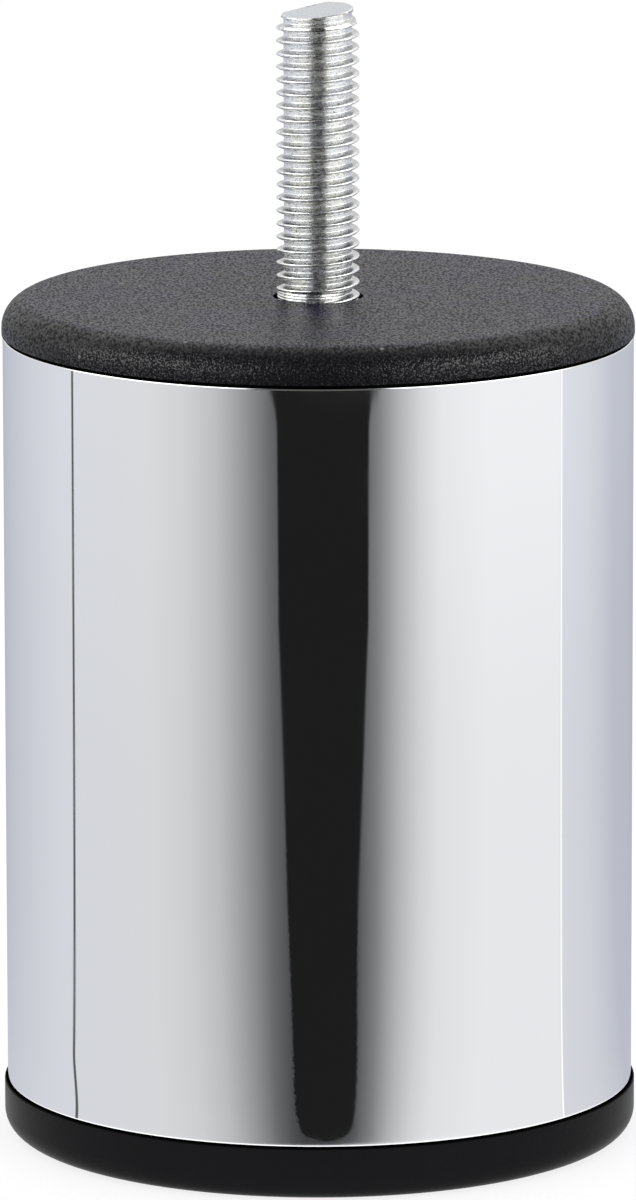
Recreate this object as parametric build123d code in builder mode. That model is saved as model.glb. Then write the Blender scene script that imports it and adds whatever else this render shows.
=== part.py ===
from build123d import *
from math import cos, pi, radians, sqrt, tan
import os

# Furniture leg: a round plated tube with a moulded plug in each end. The upper plug, the cap, is
# moulded round a hex head screw whose thread goes up into the furniture. The lower plug is the foot.
# Millimetres, +Z up, the leg's axis on Z, and the origin in the middle of the floor face.

# Tube
tube_diameter = 60.0
tube_wall = 1.2
tube_length = 72.2
tube_rim_chamfer = 0.2
tube_bore_chamfer = 0.3

# Foot: its flange shows under the tube, and a core takes plastic out of the flange's middle
foot_height = 5.2
foot_overhang = 0.3
foot_edge_round = 2.2
foot_core_depth = 2.2

# Cap: its flange shows on top of the tube
cap_height = 3.6
cap_overhang = 0.1
cap_edge_round = 2.8

# Relief in the cap round the root of the thread, which keeps the seat face clear of the screw
root_relief_width = 0.3
root_relief_depth = 0.5

# Both flanges: the small bevel where they meet the tube's rims, and the most of a flange's
# height that its edge round may take
flange_lip_chamfer = 0.2
edge_round_share = 0.85

# Inserts of both plugs, inside the tube
cap_insert_depth = 14.0
foot_insert_depth = 12.0
skirt_wall = 2.2
skirt_lead_in = 1.0
crush_rib_count = 12
crush_rib_width = 1.4
crush_rib_height = 0.4
crush_rib_clearance = 0.05
web_count = 12
web_thickness = 1.6
web_setback = 2.5

# Bosses in the middle of the inserts: the cap's holds the screw's head, the foot's joins the webs
cap_boss_wall = 3.0
cap_boss_floor = 3.0
foot_boss_diameter = 14.0

# Screw: M8 with a hex head. The thread stands above the cap, at its major diameter, and the
# shank in the cap is reduced to the thread's pitch diameter, whose line runs three eighths of
# the thread's full vee below the crest.
thread_diameter = 8.0
thread_pitch = 1.25
thread_angle = 60.0
pitch_line_share = 3 / 8
thread_length = 28.0
thread_point_chamfer = 0.9
shank_length = 7.6
head_sides = 6
head_across_flats = 13.0
head_height = 5.3
head_chamfer_angle = 30.0

# Heights, radii and lengths that follow from the sizes above
tube_radius = tube_diameter / 2
bore_radius = tube_radius - tube_wall
tube_top = foot_height + tube_length
cap_top = tube_top + cap_height
crush_rib_radius = bore_radius - crush_rib_clearance
skirt_radius = crush_rib_radius - crush_rib_height
skirt_bore_radius = skirt_radius - skirt_wall
thread_vee_height = thread_pitch / (2 * tan(radians(thread_angle / 2)))
pitch_diameter = thread_diameter - 2 * pitch_line_share * thread_vee_height
head_seat = cap_top - shank_length
head_bottom = head_seat - head_height
head_across_corners = head_across_flats / cos(pi / head_sides)
cap_boss_diameter = head_across_corners + 2 * cap_boss_wall
cap_boss_depth = tube_top - head_bottom + cap_boss_floor

os.makedirs("parts", exist_ok=True)


def make_insert(depth, core_depth, boss_diameter, boss_depth):
    """The half of a plug that hides in the tube, standing up from the flange's face at Z0.

    A skirt with vee-shaped crush ribs outside it, a boss in the middle, and webs from the boss to
    the skirt. The boss and webs also reach down through the flange's core.
    """
    with BuildPart() as insert:
        with BuildSketch():
            Circle(skirt_radius)
            Circle(skirt_bore_radius, mode=Mode.SUBTRACT)
        extrude(amount=depth)
        free_end = insert.faces().sort_by(Axis.Z)[-1]
        chamfer(free_end.edges().sort_by(SortBy.RADIUS)[-1], min(skirt_lead_in, skirt_wall / 2))
        with BuildSketch():
            with PolarLocations(crush_rib_radius - crush_rib_width / 2, crush_rib_count):
                Rectangle(crush_rib_width / sqrt(2), crush_rib_width / sqrt(2), rotation=45)
        extrude(amount=depth - skirt_lead_in)
        with BuildSketch(Plane.XY.offset(-core_depth)):
            Circle(boss_diameter / 2)
        extrude(amount=core_depth + boss_depth)
        web_length = skirt_bore_radius + skirt_wall / 2
        with BuildSketch(Plane.XY.offset(-core_depth)):
            with PolarLocations(web_length / 2, web_count):
                Rectangle(web_length, web_thickness)
        extrude(amount=core_depth + depth - web_setback)
    return insert.part


# Tube: plain round tube, its rim and its bore deburred at each end
with BuildPart() as tube:
    with BuildSketch(Plane.XY.offset(foot_height)):
        Circle(tube_radius)
        Circle(bore_radius, mode=Mode.SUBTRACT)
    extrude(amount=tube_length)
    bore_mouths = tube.edges().filter_by(GeomType.CIRCLE).group_by(SortBy.RADIUS)[0]
    chamfer(bore_mouths, min(tube_bore_chamfer, tube_wall / 3))
    outer_rims = tube.edges().filter_by(GeomType.CIRCLE).group_by(SortBy.RADIUS)[-1]
    chamfer(outer_rims, min(tube_rim_chamfer, tube_wall / 3))
tube.part.label = "tube"
export_step(tube.part, "parts/tube.step")

# Screw: hex head with its free end turned to a cone, reduced shank, and thread with a point
with BuildPart() as screw:
    with BuildSketch(Plane.XY.offset(head_bottom)):
        RegularPolygon(head_across_flats / 2, side_count=head_sides, major_radius=False)
    extrude(amount=head_height)
    with BuildSketch(Plane.XZ):
        cone_run = head_across_flats / 2
        with BuildLine():
            Polyline(
                (cone_run, head_bottom),
                (2 * cone_run, head_bottom),
                (2 * cone_run, head_bottom + cone_run * tan(radians(head_chamfer_angle))),
                close=True,
            )
        make_face()
    revolve(axis=Axis.Z, mode=Mode.SUBTRACT)
    with BuildSketch(Plane.XY.offset(head_seat)):
        Circle(pitch_diameter / 2)
    extrude(amount=shank_length)
    with BuildSketch(Plane.XY.offset(cap_top)):
        Circle(thread_diameter / 2)
    extrude(amount=thread_length)
    chamfer(screw.edges().group_by(Axis.Z)[-1], thread_point_chamfer)
screw.part.label = "screw"
export_step(screw.part, "parts/screw.step")

# Cap: flange on the tube's top rim, insert hanging below it, and the plastic closed on the screw
cap_insert = make_insert(cap_insert_depth, 0, cap_boss_diameter, cap_boss_depth)
with BuildPart() as cap:
    with BuildSketch(Plane.XY.offset(tube_top)):
        Circle(tube_radius + cap_overhang)
    extrude(amount=cap_height)
    fillet(cap.edges().group_by(Axis.Z)[-1], min(cap_edge_round, edge_round_share * cap_height))
    chamfer(cap.edges().group_by(Axis.Z)[0], flange_lip_chamfer)
    with Locations(Location((0, 0, tube_top), (180, 0, 0))):
        add(cap_insert)
    add(screw.part, mode=Mode.SUBTRACT)
    with BuildSketch(Plane.XY.offset(cap_top)):
        Circle(thread_diameter / 2 + root_relief_width)
    extrude(amount=-root_relief_depth, mode=Mode.SUBTRACT)
cap.part.label = "cap"
export_step(cap.part, "parts/cap.step")

# Foot: flange under the tube's bottom rim, cored from above, and its insert standing on it
foot_insert = make_insert(foot_insert_depth, foot_core_depth, foot_boss_diameter, foot_insert_depth)
with BuildPart() as foot:
    with BuildSketch():
        Circle(tube_radius + foot_overhang)
    extrude(amount=foot_height)
    fillet(foot.edges().group_by(Axis.Z)[0], min(foot_edge_round, edge_round_share * foot_height))
    chamfer(foot.edges().group_by(Axis.Z)[-1], flange_lip_chamfer)
    with BuildSketch(Plane.XY.offset(foot_height)):
        Circle(skirt_bore_radius)
    extrude(amount=-foot_core_depth, mode=Mode.SUBTRACT)
    with Locations((0, 0, foot_height)):
        add(foot_insert)
foot.part.label = "foot"
export_step(foot.part, "parts/foot.step")
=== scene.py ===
"""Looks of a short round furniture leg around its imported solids.

The leg is a chrome-plated tube with a black moulded cap and foot, and a zinc-plated screw whose
thread stands up from the cap. Everything is in metres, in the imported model's own frame.
"""

from __future__ import annotations

import logging
import math
from dataclasses import dataclass, field
from enum import Enum

import bmesh
import bpy
from mathutils import Matrix, Vector


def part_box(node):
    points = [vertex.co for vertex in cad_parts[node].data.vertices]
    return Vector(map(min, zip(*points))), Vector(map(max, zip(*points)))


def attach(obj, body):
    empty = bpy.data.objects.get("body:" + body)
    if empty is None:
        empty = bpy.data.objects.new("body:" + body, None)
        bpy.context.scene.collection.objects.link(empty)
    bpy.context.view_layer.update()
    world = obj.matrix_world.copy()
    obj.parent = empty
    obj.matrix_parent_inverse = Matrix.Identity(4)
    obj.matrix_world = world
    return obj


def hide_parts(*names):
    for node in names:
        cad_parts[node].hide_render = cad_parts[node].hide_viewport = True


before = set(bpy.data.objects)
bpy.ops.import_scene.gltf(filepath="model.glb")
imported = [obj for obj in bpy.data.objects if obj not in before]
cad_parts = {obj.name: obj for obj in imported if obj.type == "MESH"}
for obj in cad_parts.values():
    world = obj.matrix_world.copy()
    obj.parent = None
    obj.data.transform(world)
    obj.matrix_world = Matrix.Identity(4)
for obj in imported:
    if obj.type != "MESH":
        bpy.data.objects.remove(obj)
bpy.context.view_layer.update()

LOG = logging.getLogger("furniture_leg")
BODY = "root"
MM = 0.001
TURN = 2 * math.pi

Triple = tuple[float, float, float]
Span = tuple[float, float]
Socket = bpy.types.NodeSocket
Edges = list[bmesh.types.BMEdge]


class Slot(Enum):
    """The record's material slots, which the log names for each piece."""

    CHROME = "chrome"
    PLASTIC = "black_plastic"
    ZINC = "zinc"


class Signal:
    """One number per point, carried by a socket. Arithmetic on it adds Math nodes."""

    def __init__(self, graph: NodeGraph, socket: Socket) -> None:
        """Keeps the socket and the graph that further nodes go into."""
        self.graph = graph
        self.socket = socket

    def math(self, operation: str, *others: Signal | float) -> Signal:
        """Adds one Math node.

        Args:
            operation: the Math node's operation.
            others: the numbers that it works on besides this one, which comes first.

        Returns:
            The node's result.
        """
        terms = dict(enumerate((self, *others)))
        node = self.graph.node("ShaderNodeMath", {"operation": operation}, terms)
        return Signal(self.graph, node.outputs[0])

    def __add__(self, other: Signal | float) -> Signal:
        """Sum."""
        return self.math("ADD", other)

    __radd__ = __add__

    def __sub__(self, other: Signal | float) -> Signal:
        """Difference."""
        return self.math("SUBTRACT", other)

    def __neg__(self) -> Signal:
        """Opposite."""
        return self.math("MULTIPLY", -1.0)

    def __rsub__(self, other: Signal | float) -> Signal:
        """Difference with the signal on the right."""
        return -self + other

    def __mul__(self, other: Signal | float) -> Signal:
        """Product."""
        return self.math("MULTIPLY", other)

    __rmul__ = __mul__

    def __truediv__(self, other: Signal | float) -> Signal:
        """Quotient."""
        return self.math("DIVIDE", other)

    def __abs__(self) -> Signal:
        """Size without sign."""
        return self.math("ABSOLUTE")

    def at_least(self, other: Signal | float) -> Signal:
        """The larger of the two."""
        return self.math("MAXIMUM", other)

    def step(self, low: float, high: float, start: float = 0.0, end: float = 1.0) -> Signal:
        """Changes smoothly from one number to another.

        Args:
            low: where the change starts.
            high: where the change ends.
            start: the number below low.
            end: the number above high.

        Returns:
            The smooth step.
        """
        node = self.graph.node(
            "ShaderNodeMapRange",
            {"interpolation_type": "SMOOTHSTEP"},
            {"Value": self, "From Min": low, "From Max": high, "To Min": start, "To Max": end},
        )
        return Signal(self.graph, node.outputs[0])


class NodeGraph:
    """The node tree of one material or world, emptied and ready to be wired."""

    def __init__(self, owner: bpy.types.Material | bpy.types.World) -> None:
        """Empties the owner's node tree.

        Args:
            owner: the material or world that the nodes belong to.
        """
        owner.use_nodes = True
        self.tree = owner.node_tree
        self.tree.nodes.clear()

    def node(
        self,
        kind: str,
        settings: dict[str, object] | None = None,
        inputs: dict[str | int, object] | None = None,
    ) -> bpy.types.Node:
        """Adds one node of any kind.

        Args:
            kind: the node's type.
            settings: its own choices, set first. "stops" holds a ramp's places and colours.
            inputs: a value, socket or signal for each input, by name or place.

        Returns:
            The new node.
        """
        node = self.tree.nodes.new(kind)
        for name, value in (settings or {}).items():
            if name == "stops":
                self._set_stops(node.color_ramp, value)
            else:
                setattr(node, name, value)
        for key, value in (inputs or {}).items():
            source = value.socket if isinstance(value, Signal) else value
            if isinstance(source, Socket):
                self.tree.links.new(source, node.inputs[key])
            else:
                node.inputs[key].default_value = source
        return node

    @staticmethod
    def _set_stops(ramp: bpy.types.ColorRamp, stops: list[tuple[float, Triple]]) -> None:
        """Replaces a ramp's stops.

        Args:
            ramp: the ramp, with the two stops that it is made with.
            stops: places from 0 to 1 in rising order, each with its colour.
        """
        for place, _ in stops[1:-1]:
            ramp.elements.new(place)
        for element, (place, colour) in zip(ramp.elements, stops):
            element.position = place
            element.color = rgba(colour)

    def signal(
        self,
        kind: str,
        output: str | int = 0,
        settings: dict[str, object] | None = None,
        inputs: dict[str | int, object] | None = None,
    ) -> Signal:
        """Adds one node and wraps one of its outputs.

        Args:
            kind: the node's type.
            output: the output, by name or place.
            settings: as in node.
            inputs: as in node.

        Returns:
            The output as a signal.
        """
        return Signal(self, self.node(kind, settings, inputs).outputs[output])

    def place(self) -> Socket:
        """The point's own place on its object, in metres."""
        return self.node("ShaderNodeTexCoord").outputs["Object"]

    def parts(self, vector: Socket) -> tuple[Signal, Signal, Signal]:
        """A vector's three numbers."""
        split = self.node("ShaderNodeSeparateXYZ", None, {0: vector})
        return tuple(Signal(self, output) for output in split.outputs)

    def scaled(self, vector: Socket, scale: Triple | Socket) -> Socket:
        """Multiplies a vector or colour by another, part by part."""
        settings = {"operation": "MULTIPLY"}
        return self.node("ShaderNodeVectorMath", settings, {0: vector, 1: scale}).outputs[0]

    def noise(self, vector: Socket, scale: float, detail: float = 2.0) -> Signal:
        """Adds a noise texture.

        Args:
            vector: where the noise is read.
            scale: its features in a metre.
            detail: its finer layers.

        Returns:
            The noise, from 0 to 1 with most of it near the middle.
        """
        inputs = {"Vector": vector, "Scale": scale, "Detail": detail}
        return self.signal("ShaderNodeTexNoise", 0, None, inputs)

    def spots(self, vector: Socket, centres: tuple[Triple, ...], radius: float) -> Signal | float:
        """Marks round spots.

        Args:
            vector: the point's place.
            centres: the spots' middles.
            radius: how far a spot fades out from its middle.

        Returns:
            1 in a spot, 0 outside all of them.
        """
        mark = 0.0
        for centre in centres:
            inputs = {0: vector, 1: centre}
            gap = self.signal("ShaderNodeVectorMath", "Value", {"operation": "DISTANCE"}, inputs)
            mark = gap.step(radius / 2, radius, 1.0, 0.0).at_least(mark)
        return mark

    def blend(self, factor: Signal, first: Triple | Socket, second: Triple | Socket) -> Socket:
        """Mixes two colours.

        Args:
            factor: 0 for the first colour, 1 for the second.
            first: a colour or a colour socket.
            second: a colour or a colour socket.

        Returns:
            The mixed colour's socket.
        """
        first, second = (
            colour if isinstance(colour, Socket) else rgba(colour) for colour in (first, second)
        )
        settings = {"data_type": "RGBA"}
        # For colours the Mix node reads its inputs 6 and 7, and gives its output 2.
        return self.node("ShaderNodeMix", settings, {0: factor, 6: first, 7: second}).outputs[2]

    def grey(self, level: Signal) -> Socket:
        """A grey of that level."""
        return self.node("ShaderNodeCombineColor", None, {0: level, 1: level, 2: level}).outputs[0]

    def flat_distance(self, across: Signal, depth: Signal) -> Signal:
        """The length of a horizontal vector, such as the distance from the leg's axis."""
        return (across * across + depth * depth).math("SQRT")

    def ramp(self, place: Signal, stops: list[tuple[float, Triple]]) -> Socket:
        """Reads a colour from a row of stops.

        Args:
            place: where the row is read, from 0 to 1.
            stops: places in rising order, each with its colour.

        Returns:
            The colour's socket.
        """
        return self.node("ShaderNodeValToRGB", {"stops": stops}, {0: place}).outputs[0]

    def bump(self, height: Signal, strength: float, distance: float) -> Socket:
        """Tilts the surface's normal by a height.

        Args:
            height: the relief, from 0 to 1.
            strength: how much of it shows.
            distance: its depth in metres.

        Returns:
            The normal's socket.
        """
        inputs = {"Height": height, "Strength": strength, "Distance": distance}
        return self.node("ShaderNodeBump", None, inputs).outputs[0]

    def unless_mirrored(self, seen: bpy.types.Node, mirrored: bpy.types.Node) -> Socket:
        """Shows one shader to the camera and to the light, and another to mirrors.

        Args:
            seen: the shader that the camera sees and that lights the scene.
            mirrored: the shader that shows in reflections.

        Returns:
            The mixed shader's socket.
        """
        rays = self.node("ShaderNodeLightPath")
        inputs = {0: rays.outputs["Is Glossy Ray"], 1: seen.outputs[0], 2: mirrored.outputs[0]}
        return self.node("ShaderNodeMixShader", None, inputs).outputs[0]

    def finish(self, surface: Socket, output: str = "ShaderNodeOutputMaterial") -> None:
        """Wires the surface to the output node."""
        self.node(output, None, {"Surface": surface})


def rgba(colour: Triple) -> tuple[float, float, float, float]:
    """A colour with full alpha."""
    return (*colour, 1.0)


def grey(level: float) -> Triple:
    """A grey with that level in all its parts."""
    return (level, level, level)


def from_millimetres(*points: Triple) -> tuple[Triple, ...]:
    """Points in metres, from points in millimetres."""
    return tuple(tuple(part * MM for part in point) for point in points)


@dataclass(frozen=True)
class ChromePlate:
    """Bright chrome on a drawn tube: a near mirror with a breath of haze and draw marks."""

    colour: Triple = (0.90, 0.905, 0.915)
    roughness: Span = (0.02, 0.05)
    haze_scale: float = 90.0
    haze_noise: Span = (0.35, 0.7)
    draw_marks: Triple = (1.0, 1.0, 0.02)
    draw_scale: float = 900.0
    draw_depth: float = 0.002 * MM
    draw_strength: float = 0.05

    def material(self) -> bpy.types.Material:
        """Makes the material.

        Returns:
            The chrome.
        """
        material = bpy.data.materials.new("chrome_plate")
        graph = NodeGraph(material)
        place = graph.place()
        haze = graph.noise(place, self.haze_scale)
        marks = graph.noise(graph.scaled(place, self.draw_marks), self.draw_scale)
        shader = graph.node(
            "ShaderNodeBsdfPrincipled",
            None,
            {
                "Base Color": rgba(self.colour),
                "Metallic": 1.0,
                "Roughness": haze.step(*self.haze_noise, *self.roughness),
                "Normal": graph.bump(marks, self.draw_strength, self.draw_depth),
            },
        )
        graph.finish(shader.outputs[0])
        return material


@dataclass(frozen=True)
class GrainedPlastic:
    """Black moulded plastic with a spark-eroded grain, pale specks and a few chips.

    The seam shade height is the height of the seam with the tube. A thin band there is painted
    black and without gloss: a painted contact shadow. The top is painted lighter and more violet
    than the side, painted light that follows the facing, and the front of the lip sparkles with a
    finer grain than the rest. Roughness, sheen and spark go from their first number to their
    second, and sheen and spark are shares of gloss. Any other span is where a change starts and
    ends: in a noise, in the height from the seam, or in a part of the surface's normal.
    """

    name: str = "cap_plastic"
    # Painted contact shadow: a thin band at this height, the seam with the tube, is black and has
    # no gloss.
    seam_shade_height: float = 0.0
    seam_shade_reach: Span = (0.22 * MM, 0.33 * MM)
    seam_shade_colour: Triple = (0.001, 0.001, 0.001)
    # Painted light by facing: the side's body is darker than the top's, and only the top gets
    # violet clouds.
    side: Triple = (0.0056, 0.0053, 0.0068)
    neutral: Triple = (0.0095, 0.0085, 0.0145)
    violet: Triple = (0.011, 0.009, 0.025)
    lit_top_tilt: Span = (0.93, 0.995)
    cloud_scale: float = 130.0
    cloud_noise: Span = (0.42, 0.60)
    grain_scale: float = 4200.0
    grain_shape: Triple = (1.0, 0.4, 1.0)
    grain_depth: float = 0.09 * MM
    grain_strength: float = 0.9
    roughness: Span = (0.22, 0.34)
    roughness_noise: Span = (0.35, 0.65)
    specular: float = 0.5
    sheen: Span = (0.21, 0.84)
    sheen_noise: Span = (0.36, 0.64)
    spark: Span = (0.14, 1.0)
    spark_scale: float = 6000.0
    spark_noise: Span = (0.51, 0.57)
    spark_tilt: Span = (0.6, 0.95)
    spark_front: Span = (0.45, 0.72)
    speck_colour: Triple = (0.16, 0.16, 0.17)
    speck_scale: float = 1700.0
    speck_share: float = 0.010
    speck_reach: Span = (0.3, 0.45)
    chips: tuple[Triple, ...] = ()
    chip_radius: float = 0.22 * MM

    def specks(self, graph: NodeGraph, place: Socket) -> Signal:
        """Where the plastic is pale.

        Args:
            graph: the material's nodes.
            place: the point's place.

        Returns:
            1 in a speck or a chip, 0 elsewhere.
        """
        cells = {"Vector": place, "Scale": self.speck_scale}
        cell = graph.node("ShaderNodeTexVoronoi", None, cells)
        chance = graph.signal("ShaderNodeSeparateColor", 0, None, {"Color": cell.outputs["Color"]})
        chosen = chance.step(1.0 - self.speck_share, 1.0 - self.speck_share / 2)
        speck = chosen * Signal(graph, cell.outputs["Distance"]).step(*self.speck_reach, 1.0, 0.0)
        return speck.at_least(graph.spots(place, self.chips, self.chip_radius))

    def material(self) -> bpy.types.Material:
        """Makes the material.

        Returns:
            The plastic.
        """
        material = bpy.data.materials.new(self.name)
        graph = NodeGraph(material)
        place = graph.place()
        cloud = graph.noise(place, self.cloud_scale, detail=4.0).step(*self.cloud_noise)
        grain = graph.noise(graph.scaled(place, self.grain_shape), self.grain_scale)
        _, back, up = graph.parts(graph.node("ShaderNodeNewGeometry").outputs["True Normal"])
        body = graph.blend(cloud, self.neutral, self.violet)
        # Painted light by facing: the side takes the darker body, and the top the lighter violet
        # clouds.
        body = graph.blend(up.step(*self.lit_top_tilt), self.side, body)
        body = graph.blend(self.specks(graph, place), body, self.speck_colour)
        # Painted contact shadow: a thin band at the seam with the tube is black, and clear takes
        # its gloss away.
        clear = abs(graph.parts(place)[2] - self.seam_shade_height).step(*self.seam_shade_reach)
        body = graph.blend(clear, self.seam_shade_colour, body)
        glossy = graph.node(
            "ShaderNodeBsdfPrincipled",
            None,
            {
                "Base Color": body,
                "Roughness": grain.step(*self.roughness_noise, *self.roughness),
                "Specular IOR Level": self.specular,
                "Normal": graph.bump(grain, self.grain_strength, self.grain_depth),
            },
        )
        matte = graph.node(
            "ShaderNodeBsdfPrincipled",
            None,
            {"Base Color": body, "Roughness": 1.0, "Specular IOR Level": 0.0},
        )
        sheen = grain.step(*self.sheen_noise, *self.sheen)
        spark = graph.noise(graph.scaled(place, self.grain_shape), self.spark_scale, detail=1.0)
        spark = spark.step(*self.spark_noise, *self.spark)
        front = (1 - up.step(*self.spark_tilt)) * (-back).step(*self.spark_front)
        # clear also takes the gloss off the painted contact shadow at the seam.
        sheen = (sheen + (spark - sheen) * front) * clear
        mix = graph.node(
            "ShaderNodeMixShader", None, {0: sheen, 1: matte.outputs[0], 2: glossy.outputs[0]}
        )
        graph.finish(mix.outputs[0])
        return material


@dataclass(frozen=True)
class ThreadRun:
    """Where the thread's crest line runs, which the mesh and the finish share.

    The start is a height of the crest line on the +X side.
    """

    pitch: float = 1.25 * MM
    start: float = 1.12 * MM


@dataclass(frozen=True)
class ZincPlate:
    """Clear zinc plate on rolled steel: pale, with streaks that follow the thread.

    A band of painted shade lies on the thread's upper flank, and a thin broken line of
    painted shade under the crest. Their lines and widths are shares of the pitch, above the
    crest line. The band's colour also darkens the random flecks. The roughness goes from its
    first number to its second. Any other span is where a change starts and ends: in a noise,
    or in the upward part of the surface's normal.
    """

    thread: ThreadRun = ThreadRun()
    bright: Triple = (0.95, 0.95, 0.92)
    cool: Triple = (0.90, 0.92, 0.95)
    cloud_scale: float = 500.0
    cloud_noise: Span = (0.35, 0.65)
    dull: Triple = (0.62, 0.62, 0.60)
    streak_scale: float = 7500.0
    streak_ring: float = 1.1 * MM
    streak_depth: float = 0.012 * MM
    streak_strength: float = 0.85
    streak_noise: Span = (0.34, 0.50)
    streak_share: float = 0.9
    roughness: Span = (0.16, 0.36)
    roughness_noise: Span = (0.3, 0.7)
    # Painted shade: a dark band on the upper flank. Its colour also darkens the random flecks.
    flank_shade_and_fleck: Triple = (0.30, 0.30, 0.29)
    flank_shade_line: float = 0.22
    flank_shade_width: float = 0.19
    flank_shade_share: float = 0.52
    # Painted shade: a thin broken dark line just under the crest.
    under_shade_line: float = -0.13
    under_shade_width: float = 0.07
    under_shade_noise: Span = (0.62, 0.44)
    under_shade_share: float = 0.9
    fleck_scale: float = 5200.0
    fleck_noise: Span = (0.60, 0.70)
    fleck_share: float = 0.45
    sheared: Triple = (0.615, 0.645, 0.67)
    sheared_tilt: Span = (0.95, 0.98)
    # The colour of the pits, the dark spots and the painted shade under the crest.
    pit_and_shade_colour: Triple = (0.03, 0.03, 0.035)
    pit_scale: float = 2300.0
    pit_noise: Span = (0.78, 0.82)
    marks: tuple[Triple, ...] = ()
    mark_radius: float = 0.30 * MM

    def crest_offset(self, climb: Signal) -> Signal:
        """How far a point lies above the nearest crest line.

        Args:
            climb: the point's height in turns of the thread, less its turn round the axis.

        Returns:
            The offset as a share of the pitch, from -0.5 to 0.5.
        """
        quarter, half = 0.25, 0.5
        # The mesh's turn starts on the +X side, a quarter turn after the front, where this starts.
        shift = quarter + half - self.thread.start / self.thread.pitch
        return (climb + shift).math("FRACT") - half

    def streaks(self, graph: NodeGraph, across: Signal, depth: Signal, climb: Signal) -> Signal:
        """Noise drawn out along the thread.

        Args:
            graph: the material's nodes.
            across: the point's place from left to right.
            depth: its place from front to back.
            climb: as in crest_offset.

        Returns:
            The noise, from 0 to 1.
        """
        reach = graph.flat_distance(across, depth).at_least(self.streak_ring)
        around = [part / reach * self.streak_ring for part in (across, depth)]
        lane = {0: around[0], 1: around[1], 2: climb * self.thread.pitch}
        lanes = graph.node("ShaderNodeCombineXYZ", None, lane).outputs[0]
        return graph.noise(lanes, self.streak_scale)

    def material(self) -> bpy.types.Material:
        """Makes the material.

        Returns:
            The zinc.
        """
        material = bpy.data.materials.new("zinc_plate")
        graph = NodeGraph(material)
        place = graph.place()
        across, depth, height = graph.parts(place)
        turn = across.math("ARCTAN2", -depth) / TURN
        climb = height / self.thread.pitch - turn
        crest = self.crest_offset(climb)
        # Painted shade: a dark band on every turn's upper flank.
        flank_shade_and_fleck = abs(crest - self.flank_shade_line).step(0.0, self.flank_shade_width, self.flank_shade_share, 0.0)
        # Painted shade: a thin broken dark line just under the crest.
        under = abs(crest - self.under_shade_line).step(0.0, self.under_shade_width, self.under_shade_share, 0.0)
        streak = self.streaks(graph, across, depth, climb)
        cloud = graph.noise(place, self.cloud_scale).step(*self.cloud_noise)
        fleck = graph.noise(place, self.fleck_scale, detail=1.0)
        fleck = fleck.step(*self.fleck_noise, 0.0, self.fleck_share)
        facing = graph.node("ShaderNodeNewGeometry").outputs["True Normal"]
        flat = graph.parts(facing)[2].step(*self.sheared_tilt)
        pits = graph.noise(place, self.pit_scale, detail=1.0).step(*self.pit_noise)
        pits = pits.at_least(graph.spots(place, self.marks, self.mark_radius))
        body = graph.blend(cloud, self.bright, self.cool)
        body = graph.blend(streak.step(*self.streak_noise, self.streak_share, 0.0), body, self.dull)
        # The painted shade on the upper flank, then the random flecks in the same colour.
        body = graph.blend(flank_shade_and_fleck, body, self.flank_shade_and_fleck)
        body = graph.blend(fleck, body, self.flank_shade_and_fleck)
        # The painted shade under the crest, broken up by the streaks.
        body = graph.blend(under * streak.step(*self.under_shade_noise), body, self.pit_and_shade_colour)
        body = graph.blend(flat, body, self.sheared)
        body = graph.blend(pits, body, self.pit_and_shade_colour)
        shader = graph.node(
            "ShaderNodeBsdfPrincipled",
            None,
            {
                "Base Color": body,
                "Metallic": 1.0,
                "Roughness": streak.step(*self.roughness_noise, *self.roughness),
                "Normal": graph.bump(streak, self.streak_strength, self.streak_depth),
            },
        )
        graph.finish(shader.outputs[0])
        return material


@dataclass(frozen=True)
class ProfilePoint:
    """One point of a turned section, with the direction that its surface faces."""

    radius: float
    height: float
    facing: float


def corner_arc(
    radius: float, height: float, round_radius: float, start: float, steps: int
) -> list[ProfilePoint]:
    """Rounds one corner of a turned section.

    Args:
        radius: the arc's centre, from the axis.
        height: the arc's centre, from the floor.
        round_radius: the arc's own radius.
        start: the direction that its first point faces, in degrees from straight outward.
        steps: its segments.

    Returns:
        The arc's points over a quarter turn.
    """
    points = []
    for step in range(steps + 1):
        facing = math.radians(start + 90.0 * step / steps)
        out, up = round_radius * math.cos(facing), round_radius * math.sin(facing)
        points.append(ProfilePoint(radius + out, height + up, facing))
    return points


def turn_profile(name: str, profile: list[ProfilePoint], around: int) -> bpy.types.Object:
    """Turns a closed section round Z, with the exact normal at each point.

    Args:
        name: the piece's name.
        profile: the section's points, counter-clockwise with the axis on their left.
        around: the segments round the axis.

    Returns:
        The turned piece.
    """
    count = len(profile)
    vertices = []
    normals = []
    for turn in range(around):
        angle = TURN * turn / around
        across, along = math.cos(angle), math.sin(angle)
        for point in profile:
            vertices.append((point.radius * across, point.radius * along, point.height))
            outward = math.cos(point.facing)
            normals.append((outward * across, outward * along, math.sin(point.facing)))
    faces = []
    for turn in range(around):
        here = turn * count
        there = (turn + 1) % around * count
        for index in range(count):
            after = (index + 1) % count
            faces.append((here + index, there + index, there + after, here + after))
    mesh = bpy.data.meshes.new(name)
    mesh.from_pydata(vertices, [], faces)
    mesh.shade_smooth()
    mesh.normals_split_custom_set_from_vertices(normals)
    return link_piece(name, mesh)


def link_piece(name: str, mesh: bpy.types.Mesh) -> bpy.types.Object:
    """Puts a mesh into the scene.

    Args:
        name: the object's name.
        mesh: its mesh.

    Returns:
        The new object.
    """
    piece = bpy.data.objects.new(name, mesh)
    bpy.context.scene.collection.objects.link(piece)
    return piece


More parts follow.
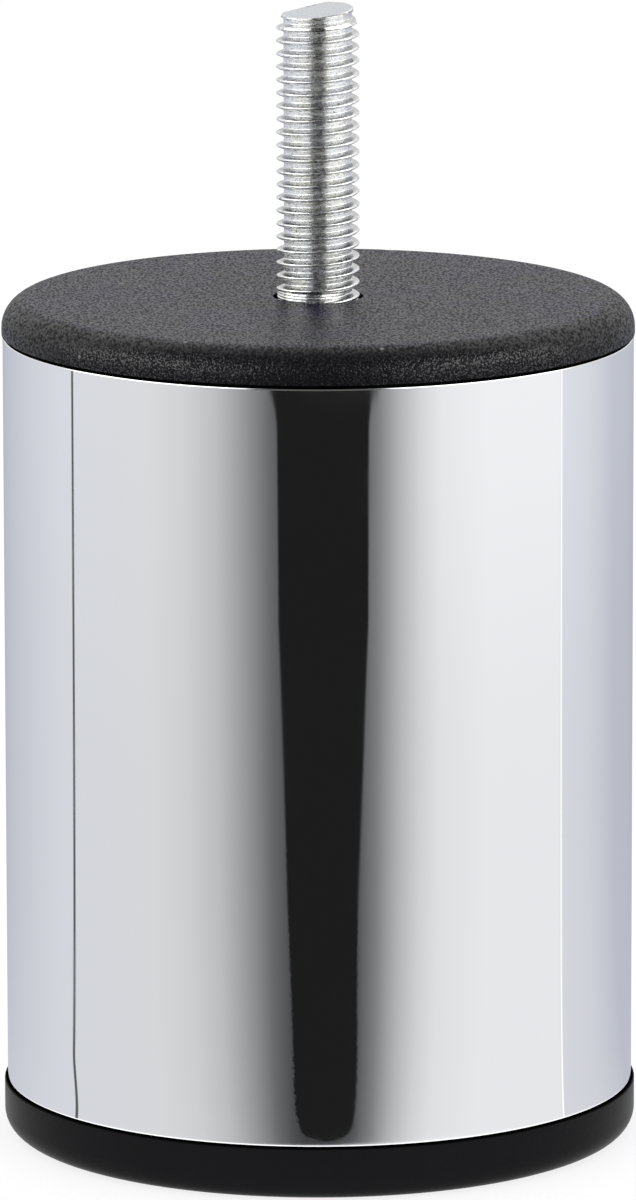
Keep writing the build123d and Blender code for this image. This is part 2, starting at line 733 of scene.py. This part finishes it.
def dress(piece: bpy.types.Object, material: bpy.types.Material, slot: Slot) -> None:
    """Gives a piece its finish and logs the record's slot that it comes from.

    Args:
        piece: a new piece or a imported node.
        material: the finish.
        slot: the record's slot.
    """
    if piece.material_slots:
        piece.material_slots[0].material = material
    else:
        piece.data.materials.append(material)
    LOG.info("%s: %d faces, %s", piece.name, len(piece.data.polygons), slot.value)


@dataclass
class Tube:
    """The chrome-plated steel tube between foot and cap."""

    wall: float = 1.2 * MM
    rim_radius: float = 0.2 * MM
    rim_steps: int = 6
    around: int = 384

    def section(self) -> list[ProfilePoint]:
        """The tube's wall as a closed section with rounded rims.

        Returns:
            The section's points.
        """
        low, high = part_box("tube")
        rim = self.rim_radius
        outer, inner = high.x - rim, high.x - self.wall + rim
        bottom, top = low.z + rim, high.z - rim
        points = []
        for radius, height, start in (
            (outer, bottom, -90.0),
            (outer, top, 0.0),
            (inner, top, 90.0),
            (inner, bottom, 180.0),
        ):
            points += corner_arc(radius, height, rim, start, self.rim_steps)
        return points

    def build(self, material: bpy.types.Material) -> None:
        """Makes the tube in place of its node.

        Args:
            material: the chrome.
        """
        tube = turn_profile("chrome_tube", self.section(), self.around)
        dress(tube, material, Slot.CHROME)
        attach(tube, BODY)
        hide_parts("tube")


def progress(value: float, low: float, high: float) -> float:
    """How far a value is from low to high, kept between 0 and 1."""
    return min(max((value - low) / (high - low), 0.0), 1.0)


@dataclass
class Screw:
    """The screw moulded into the cap: rolled thread, reduced shank and hex head.

    Bearings go from +X towards the back. The point's and the tip's measures go down from the top.
    """

    thread: ThreadRun = ThreadRun()
    crest_radius: float = 3.94 * MM
    root_radius: float = 3.23 * MM
    crest_flat: float = 0.12 * MM
    root_flat: float = 0.38 * MM
    corner_softness: float = 0.55
    steps_per_turn: int = 120
    rows_per_turn: int = 24
    turns_below: int = 3
    turns_above: int = 2
    cut_tolerance: float = 1e-9
    run_out: float = 0.12 * MM
    shallow_radius: float = 3.82 * MM
    shallow_top: float = 0.62 * MM
    shallow_fade: float = 0.25 * MM
    ripple_height: float = 0.07 * MM
    ripple_pitch: float = 0.27 * MM
    shank_radius: float = 3.59 * MM
    shank_length: float = 7.6 * MM
    relief_depth: float = 0.5 * MM
    point_low: float = 2.25 * MM
    point_high: float = 1.0 * MM
    point_share: float = 0.80
    tip_centre_drop: float = 0.62 * MM
    tip_slope_right: float = 0.086
    tip_slope_back: float = 0.082
    tip_round: float = 0.10 * MM
    broken_place: float = 2.18 * MM
    broken_bearing: float = 135.0
    broken_slope: float = 0.7
    head_across_flats: float = 13.0 * MM
    head_chamfer_angle: float = 30.0
    head_sides: int = 6
    head_steps_per_side: int = 12
    head_bottom: float = field(init=False)
    head_top: float = field(init=False)
    seat: float = field(init=False)
    top: float = field(init=False)

    def __post_init__(self) -> None:
        """Takes the screw's place from its node."""
        low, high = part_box("screw")
        self.head_bottom = low.z
        self.top = high.z
        self.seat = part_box("cap")[1].z
        self.head_top = self.seat - self.shank_length

    def thread_radius(self, height: float, offset: float) -> float:
        """The thread's surface.

        Args:
            height: the point's height.
            offset: its distance along the axis from the nearest crest line.

        Returns:
            The radius there.
        """
        pitch = self.thread.pitch
        depth = self.crest_radius - self.root_radius
        fall = progress(abs(offset), self.crest_flat / 2, pitch / 2 - self.root_flat / 2)
        eased = (1 - math.cos(math.pi * fall)) / 2
        fall += (eased - fall) * self.corner_softness
        radius = self.crest_radius - depth * fall
        groove = height - offset + math.copysign(pitch / 2, offset)
        shallow_end = self.seat + self.shallow_top
        shallow = 1 - progress(groove, shallow_end - self.shallow_fade, shallow_end)
        ripple = self.ripple_height * math.cos(TURN * height / self.ripple_pitch)
        floor = self.root_radius + (self.shallow_radius + ripple - self.root_radius) * shallow
        radius = max(radius, floor)
        worn = progress(height, self.top - self.point_low, self.top - self.point_high)
        radius = min(radius, self.crest_radius - depth * (self.point_share * worn))
        start = self.seat - self.relief_depth
        strength = progress(height, start, start + self.run_out)
        return self.shank_radius + (radius - self.shank_radius) * strength

    def thread_strip(self) -> bmesh.types.BMesh:
        """The thread as one strip that winds up the screw, longer than needed at both ends.

        Returns:
            The strip, whose rows follow the helix and whose turns share their edges.
        """
        steps, rows = self.steps_per_turn, self.rows_per_turn
        pitch, crest_start = self.thread.pitch, self.thread.start
        first = math.floor((self.seat - crest_start) / pitch) - self.turns_below
        last = math.ceil((self.top - crest_start) / pitch) + self.turns_above
        strip = bmesh.new()
        grid = []
        for step in range((last - first) * steps + 1):
            angle = TURN * step / steps
            rise = crest_start + pitch * (first + step / steps)
            column = []
            for row in range(rows):
                offset = pitch * (row / rows - 0.5)
                height = rise + offset
                radius = self.thread_radius(height, offset)
                column.append(
                    strip.verts.new((radius * math.cos(angle), radius * math.sin(angle), height))
                )
            grid.append(column)
        for step in range(len(grid) - 1 - steps):
            here, there = grid[step], grid[step + 1]
            above, above_there = grid[step + steps][0], grid[step + steps + 1][0]
            for row in range(rows - 1):
                strip.faces.new((here[row], there[row], there[row + 1], here[row + 1]))
            strip.faces.new((here[-1], there[-1], above_there, above))
        return strip

    def cut(self, screw: bmesh.types.BMesh, point: Vector, normal: Vector) -> Edges:
        """Cuts the mesh off beyond a plane.

        Args:
            screw: the mesh.
            point: a point of the plane.
            normal: the plane's normal, towards what goes.

        Returns:
            The edges of the cut.
        """
        result = bmesh.ops.bisect_plane(
            screw,
            geom=screw.verts[:] + screw.edges[:] + screw.faces[:],
            dist=self.cut_tolerance,
            plane_co=point,
            plane_no=normal,
            clear_outer=True,
        )
        return [item for item in result["geom_cut"] if isinstance(item, bmesh.types.BMEdge)]

    @staticmethod
    def pull(screw: bmesh.types.BMesh, edges: Edges, move: Matrix) -> Edges:
        """Draws a rim on from a loop of edges.

        Args:
            screw: the mesh.
            edges: the loop.
            move: where the new loop's points go.

        Returns:
            The new loop.
        """
        made = bmesh.ops.extrude_edge_only(screw, edges=edges)["geom"]
        points = [item for item in made if isinstance(item, bmesh.types.BMVert)]
        bmesh.ops.transform(screw, matrix=move, verts=points)
        return [item for item in made if isinstance(item, bmesh.types.BMEdge) and item.is_boundary]

    def break_corner(self, screw: bmesh.types.BMesh, centre: Vector) -> None:
        """Takes the sheared tip's torn corner off, which slopes down to the outside.

        Args:
            screw: the mesh, closed at the tip.
            centre: the middle of the tip's disc.
        """
        bearing = math.radians(self.broken_bearing)
        outward = Vector((math.cos(bearing), math.sin(bearing), 0.0))
        rise = outward.dot(Vector((self.tip_slope_right, self.tip_slope_back, 0.0)))
        point = centre + (outward + Vector((0, 0, rise))) * self.broken_place
        normal = (outward * self.broken_slope + Vector((0, 0, 1))).normalized()
        torn = self.cut(screw, point, normal)
        screw.faces.new(self.loop(torn)).smooth = False

    def add_head(self, screw: bmesh.types.BMesh) -> None:
        """Adds the hex head, with its free end turned to a cone.

        Args:
            screw: the mesh that it goes into.
        """
        flat_radius = self.head_across_flats / 2
        slope = math.tan(math.radians(self.head_chamfer_angle))
        count = self.head_sides * self.head_steps_per_side
        rings: list[list[bmesh.types.BMVert]] = [[], [], []]
        for step in range(count):
            angle = TURN * step / count
            half_side = math.pi / self.head_sides
            radius = flat_radius / math.cos((angle + half_side) % (2 * half_side) - half_side)
            chamfer = self.head_bottom + (radius - flat_radius) * slope
            for ring, reach, height in zip(
                rings, (flat_radius, radius, radius), (self.head_bottom, chamfer, self.head_top)
            ):
                ring.append(
                    screw.verts.new((reach * math.cos(angle), reach * math.sin(angle), height))
                )
        for lower, upper in zip(rings, rings[1:]):
            for step in range(count):
                after = (step + 1) % count
                side = screw.faces.new((lower[step], lower[after], upper[after], upper[step]))
                side.smooth = False
        screw.faces.new(rings[0][::-1])
        screw.faces.new(rings[-1])

    def shape(self) -> bpy.types.Mesh:
        """Makes the closed thread with its shank and sheared tip, and the head below it.

        Returns:
            The screw's mesh.
        """
        screw = self.thread_strip()
        for face in screw.faces:
            face.smooth = True
        low_cut = Vector((0, 0, self.seat - self.relief_depth))
        lower = self.cut(screw, low_cut, Vector((0, 0, -1)))
        normal = Vector((-self.tip_slope_right, -self.tip_slope_back, 1.0)).normalized()
        centre = Vector((0, 0, self.top - self.tip_centre_drop))
        upper = self.cut(screw, centre - normal * self.tip_round, normal)
        shank = self.pull(screw, lower, Matrix.Translation((0, 0, self.head_top - low_cut.z)))
        screw.faces.new(self.loop(shank))
        narrowed = 1 - self.tip_round / self.root_radius
        about = Matrix.Translation(centre)
        shrink = about @ Matrix.Scale(narrowed, 4) @ Matrix.Translation(-centre)
        edge = self.pull(screw, upper, Matrix.Translation(normal * self.tip_round) @ shrink)
        screw.faces.new(self.loop(edge)).smooth = False
        self.break_corner(screw, centre)
        self.add_head(screw)
        bmesh.ops.recalc_face_normals(screw, faces=screw.faces[:])
        mesh = bpy.data.meshes.new("zinc_screw")
        screw.to_mesh(mesh)
        screw.free()
        return mesh

    def build(self, material: bpy.types.Material) -> None:
        """Makes the screw in place of its node.

        Args:
            material: the zinc.
        """
        piece = link_piece("zinc_screw", self.shape())
        dress(piece, material, Slot.ZINC)
        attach(piece, BODY)
        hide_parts("screw")

    @staticmethod
    def loop(edges: Edges) -> list[bmesh.types.BMVert]:
        """Puts a closed loop's points in order.

        Args:
            edges: the loop's edges, in any order.

        Returns:
            Its points, one after the other.
        """
        members = set(edges)
        edge = edges[0]
        start, point = edge.verts
        ordered = [start]
        while point != start:
            ordered.append(point)
            edge = next(other for other in point.link_edges if other in members and other != edge)
            point = edge.other_vert(point)
        return ordered


@dataclass
class Plug:
    """A moulded plug, kept as its node and given the plastic."""

    node: str

    def build(self, material: bpy.types.Material) -> None:
        """Dresses the plug's node.

        Args:
            material: the plastic.
        """
        dress(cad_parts[self.node], material, Slot.PLASTIC)


@dataclass(frozen=True)
class PanelStop:
    """How bright the studio's panels look in the chrome, in one direction over the floor.

    The angle is in degrees from straight in front, towards the right.
    """

    angle: float
    level: float
    tint: Triple


# The panels' tints, from nearly white to the bluest.
PALE = (0.985, 0.995, 1.01)
COOL = (0.955, 0.975, 1.03)
COLD = (0.92, 0.955, 1.07)


@dataclass(frozen=True)
class GapStop:
    """Where the black gap between the panels has its edges, at one distance from the leg's axis.

    The edges are in degrees from straight in front, towards the right.
    """

    distance: float
    left: float
    right: float


@dataclass(frozen=True)
class FloorLine:
    """A thin straight line in the chrome's mirror image, where two panels meet.

    The bearing and half width are in degrees, and the hook is how far the line's near end bends.
    """

    bearing: float
    half_width: float
    level: float
    hook: float = 0.0


@dataclass
class Studio:
    """A pale floor under plain white light, with the panels that the chrome mirrors.

    The floor's panels fan out from a point in front of the leg's axis, because edges that do so
    look upright in the round chrome. Near the leg the floor is lit. A span is where a change
    starts and ends: in the distance from the axis, or for the sky in one part of the direction:
    side, back or up. The least flat length keeps the sky's side safe to work out straight
    overhead.
    """

    floor_radius: float = 4.0
    floor_sides: int = 96
    floor_colour: float = 0.20
    floor_glow: float = 0.82
    sky_level: float = 1.0
    mirror_share: float = 0.92
    fan_centre: float = 22.1 * MM
    near_end: float = 51.65 * MM
    near_bend: float = 3.08 * MM
    near_soft: float = 0.3 * MM
    near_level: float = 1.3
    far_reach: Span = (180 * MM, 450 * MM)
    far_sides: Span = (math.radians(22), math.radians(48))
    far_lift_left: float = 0.04
    far_lift_right: float = 0.085
    hook_end: float = 72 * MM
    gap_span: float = 500 * MM
    gap_widest: float = 30.0
    gap_soft: float = 0.35
    gap_end_soft: float = 0.3 * MM
    gap_wobble: float = 1.8
    gap_wobble_scale: float = 900.0
    gap_level: float = 0.012
    gap_far_level: float = 0.28
    gap_far_reach: Span = (482 * MM, 505 * MM)
    sky_gap_side: Span = (0.40, 0.54)
    sky_gap_level: float = 0.10
    least_flat: float = 0.01
    front_level: float = 0.5
    softbox_level: float = 3.3
    softbox_bottom: Span = (0.06, 0.24)
    softbox_top: Span = (0.56, 0.72)
    rear_back: Span = (0.11, 0.34)
    rear_level: float = 0.76
    overhead_level: float = 1.9
    slot_back: Span = (0.45, 0.7)
    slot_share: float = 0.7
    gap_edges: tuple[GapStop, ...] = (
        GapStop(53 * MM, 2.0, 2.0),
        GapStop(53.6 * MM, -1.4, 5.2),
        GapStop(55.5 * MM, -4.2, 7.5),
        GapStop(58 * MM, -5.4, 8.8),
        GapStop(66 * MM, -6.8, 10.0),
        GapStop(74 * MM, -7.4, 10.7),
        GapStop(88 * MM, -7.9, 11.5),
        GapStop(152 * MM, -10.3, 12.7),
        GapStop(223 * MM, -12.0, 15.0),
        GapStop(303 * MM, -13.8, 17.1),
        GapStop(434 * MM, -14.4, 17.6),
        GapStop(445 * MM, -15.0, 18.1),
        GapStop(453 * MM, -15.8, 18.7),
        GapStop(458 * MM, -16.4, 19.5),
        GapStop(463 * MM, -17.3, 21.2),
    )
    lines: tuple[FloorLine, ...] = (
        FloorLine(-101.0, 0.75, 0.10, 1.9),
        FloorLine(99.6, 0.45, 1.05),
    )
    stops: tuple[PanelStop, ...] = (
        PanelStop(-180, 0.42, COLD),
        PanelStop(-150, 0.55, COLD),
        PanelStop(-110, 0.69, COOL),
        PanelStop(-100.2, 0.70, COOL),
        PanelStop(-65, 0.69, PALE),
        PanelStop(-50, 0.63, PALE),
        PanelStop(-38, 0.51, PALE),
        PanelStop(-26, 0.287, PALE),
        PanelStop(-18, 0.144, PALE),
        PanelStop(-11, 0.075, COOL),
        PanelStop(-5, 0.048, COOL),
        PanelStop(6, 0.048, COOL),
        PanelStop(14.8, 0.09, COOL),
        PanelStop(22, 0.214, PALE),
        PanelStop(30, 0.45, PALE),
        PanelStop(38, 0.64, PALE),
        PanelStop(46, 0.755, PALE),
        PanelStop(65, 0.817, PALE),
        PanelStop(99.4, 0.817, PALE),
        PanelStop(99.8, 0.70, COOL),
        PanelStop(115, 0.658, COOL),
        PanelStop(135, 0.533, COLD),
        PanelStop(150, 0.51, COLD),
        PanelStop(180, 0.40, COLD),
    )

    def gap_mask(self, graph: NodeGraph, bearing: Signal, reach: Signal) -> Signal:
        """Where the floor belongs to the black gap, which narrows towards the leg.

        Args:
            graph: the floor's nodes.
            bearing: the direction from the leg's axis, in radians from straight in front.
            reach: the distance from the axis.

        Returns:
            1 in the gap, 0 outside it.
        """
        widest = self.gap_widest
        stops = []
        for stop in self.gap_edges:
            sides = [0.5 + side / widest / 2 for side in (stop.left, stop.right)]
            stops.append((stop.distance / self.gap_span, (*sides, 0.0)))
        edges = graph.parts(graph.ramp(reach / self.gap_span, stops))
        left, right = (edge * 2 - 1 for edge in edges[:2])
        wobble = graph.noise(graph.place(), self.gap_wobble_scale, detail=1.0) - 0.5
        share = bearing / math.radians(widest) + wobble * (self.gap_wobble / widest)
        soft = self.gap_soft / widest
        inside = (share - left).step(-soft, soft) * (right - share).step(-soft, soft)
        first = self.gap_edges[0].distance
        return inside * reach.step(first - self.gap_end_soft, first + self.gap_end_soft)

    def graded_panels(self, graph: NodeGraph, fan: Signal, reach: Signal) -> Socket:
        """The panels' own tones, a little brighter far out on both sides.

        Args:
            graph: the floor's nodes.
            fan: the direction from the fan's centre, in radians from straight in front.
            reach: the distance from the leg's axis.

        Returns:
            The colour's socket.
        """
        stops = [
            (stop.angle / 360 + 0.5, tuple(stop.level * part for part in stop.tint))
            for stop in self.stops
        ]
        right, left = ((fan * sign).step(*self.far_sides) for sign in (1.0, -1.0))
        lift = right * self.far_lift_right + left * self.far_lift_left
        lift = reach.step(*self.far_reach) * lift + 1.0
        return graph.scaled(graph.ramp(fan / TURN + 0.5, stops), graph.grey(lift))

    def line_mask(self, line: FloorLine, fan: Signal, reach: Signal) -> Signal:
        """Where the floor belongs to one thin line.

        Args:
            line: the line.
            fan: as in graded_panels.
            reach: the distance from the leg's axis.

        Returns:
            1 on the line, 0 beside it.
        """
        hook = math.radians(line.hook)
        bend = reach.step(self.near_end - self.near_bend, self.hook_end, hook, 0.0)
        apart = abs(fan - bend - math.radians(line.bearing))
        width = math.radians(line.half_width)
        return apart.step(width / 2, width, 1.0, 0.0)

    def panels(self, graph: NodeGraph) -> Socket:
        """What mirrors see on the floor: the panels, their lines, the gap and the lit foot.

        Args:
            graph: the floor's nodes.

        Returns:
            The colour's socket.
        """
        across, depth, _ = graph.parts(graph.place())
        fan = across.math("ARCTAN2", -self.fan_centre - depth)
        bearing = across.math("ARCTAN2", -depth)
        reach = graph.flat_distance(across, depth)
        colour = self.graded_panels(graph, fan, reach)
        for line in self.lines:
            colour = graph.blend(self.line_mask(line, fan, reach), colour, grey(line.level))
        gap = reach.step(*self.gap_far_reach, self.gap_level, self.gap_far_level)
        colour = graph.blend(self.gap_mask(graph, bearing, reach), colour, graph.grey(gap))
        edge = reach + bearing * bearing * self.near_bend
        near = edge.step(self.near_end - self.near_soft, self.near_end, 1.0, 0.0)
        return graph.blend(near, colour, grey(self.near_level))

    def floor_material(self) -> bpy.types.Material:
        """White to the camera with the object's shadow, and panels to mirrors.

        Returns:
            The floor's material.
        """
        material = bpy.data.materials.new("studio_floor")
        material.cycles.emission_sampling = "NONE"
        graph = NodeGraph(material)
        mirrored = graph.node(
            "ShaderNodeEmission",
            None,
            {"Color": self.panels(graph), "Strength": 1 / self.mirror_share},
        )
        paint = graph.node("ShaderNodeBsdfDiffuse", None, {"Color": rgba(grey(self.floor_colour))})
        glow = graph.node(
            "ShaderNodeEmission", None, {"Color": rgba(grey(1.0)), "Strength": self.floor_glow}
        )
        seen = graph.node("ShaderNodeAddShader", None, {0: paint.outputs[0], 1: glow.outputs[0]})
        graph.finish(graph.unless_mirrored(seen, mirrored))
        return material

    def sky(self, graph: NodeGraph) -> Signal:
        """What mirrors see above the floor: a bright rear and overhead, and softboxes in front.

        Args:
            graph: the world's nodes.

        Returns:
            The light's level in each direction.
        """
        across, back, up = graph.parts(graph.node("ShaderNodeTexCoord").outputs["Generated"])
        flat = graph.flat_distance(across, back).at_least(self.least_flat)
        side = abs(across / flat).step(*self.sky_gap_side)
        lit = up.step(*self.softbox_bottom) * up.step(*self.softbox_top, 1.0, 0.0)
        front = self.front_level + lit * (self.softbox_level - self.front_level)
        front = self.sky_gap_level + side * (front - self.sky_gap_level)
        slot = (1 - side) * back.step(*self.slot_back, self.slot_share, 0.0)
        rear = self.rear_level + up * up * (self.overhead_level - self.rear_level)
        rear = rear * (1 - slot)
        return front + back.step(*self.rear_back) * (rear - front)

    def light_world(self) -> None:
        """Lights the scene evenly, and shows mirrors a studio's sky."""
        world = bpy.data.worlds.new("studio_light")
        world.cycles.sampling_method = "NONE"
        bpy.context.scene.world = world
        graph = NodeGraph(world)
        mirrored = graph.node(
            "ShaderNodeBackground", None, {"Color": graph.grey(self.sky(graph)), "Strength": 1.0}
        )
        plain = graph.node(
            "ShaderNodeBackground", None, {"Color": rgba(grey(1.0)), "Strength": self.sky_level}
        )
        graph.finish(graph.unless_mirrored(plain, mirrored), "ShaderNodeOutputWorld")

    def build(self) -> None:
        """Makes the floor and the light."""
        disc = bmesh.new()
        bmesh.ops.create_circle(
            disc, cap_ends=True, segments=self.floor_sides, radius=self.floor_radius
        )
        mesh = bpy.data.meshes.new("studio_floor")
        disc.to_mesh(mesh)
        disc.free()
        floor = link_piece("studio_floor", mesh)
        floor.data.materials.append(self.floor_material())
        self.light_world()


@dataclass
class PhotoCamera:
    """A long lens a metre away, looking down a little at the leg.

    The pitch is in degrees below the horizontal, and the roll in radians.
    """

    distance: float = 1.001
    height: float = 251.3 * MM
    pitch: float = 11.286
    roll: float = -0.0018
    lens: float = 320.6
    shift: float = -0.00054

    def build(self) -> None:
        """Makes the scene's camera."""
        data = bpy.data.cameras.new("photo_camera")
        data.lens = self.lens
        data.shift_x = self.shift
        camera = bpy.data.objects.new("photo_camera", data)
        camera.location = (0.0, -self.distance, self.height)
        look = Matrix.Rotation(math.radians(90 - self.pitch), 4, "X")
        camera.rotation_euler = (look @ Matrix.Rotation(self.roll, 4, "Z")).to_euler()
        bpy.context.scene.collection.objects.link(camera)
        bpy.context.scene.camera = camera


def thread_plate() -> ZincPlate:
    """The screw's zinc, with dark spots on its tip and its left flank, and a short dark bar across
    its front.

    Returns:
        The finish.
    """
    tip = ((-0.3, 2.6, 108.57), (-0.45, 2.3, 108.53), (-1.0, 1.9, 108.45))
    flank = (-3.45, -0.85, 103.7)
    front = tuple((across, -3.6, 107.0) for across in (-0.4, -0.1, 0.2, 0.5))
    return ZincPlate(marks=from_millimetres(*tip, flank, *front))


def cap_plastic() -> GrainedPlastic:
    """The cap's plastic, with two chips in front of the screw.

    Returns:
        The finish.
    """
    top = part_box("cap")[1].z
    chips = ((-1.69 * MM, -6.84 * MM, top), (1.43 * MM, -7.44 * MM, top))
    # The painted contact shadow sits at the top of the tube.
    return GrainedPlastic(chips=chips, seam_shade_height=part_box("tube")[1].z)


def foot_plastic() -> GrainedPlastic:
    """The foot's plastic, which is smoother and duller than the cap's.

    Returns:
        The finish.
    """
    return GrainedPlastic(
        name="foot_plastic",
        # The painted contact shadow sits at the bottom of the tube.
        seam_shade_height=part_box("tube")[0].z,
        seam_shade_reach=(0.04 * MM, 0.22 * MM),
        side=(0.0097, 0.0094, 0.0104),
        grain_depth=0.012 * MM,
        roughness=(0.34, 0.40),
        specular=0.03,
        sheen=(0.65, 0.85),
        spark=(0.65, 0.85),
        speck_share=0.0,
    )


def main() -> None:
    """Builds the stage and the leg's pieces in order."""
    logging.basicConfig(level=logging.INFO, format="%(name)s: %(message)s")
    bpy.context.scene.view_settings.view_transform = "Standard"
    PhotoCamera().build()
    Studio().build()
    Tube().build(ChromePlate().material())
    Screw().build(thread_plate().material())
    Plug("cap").build(cap_plastic().material())
    Plug("foot").build(foot_plastic().material())


if __name__ == "__main__":
    main()
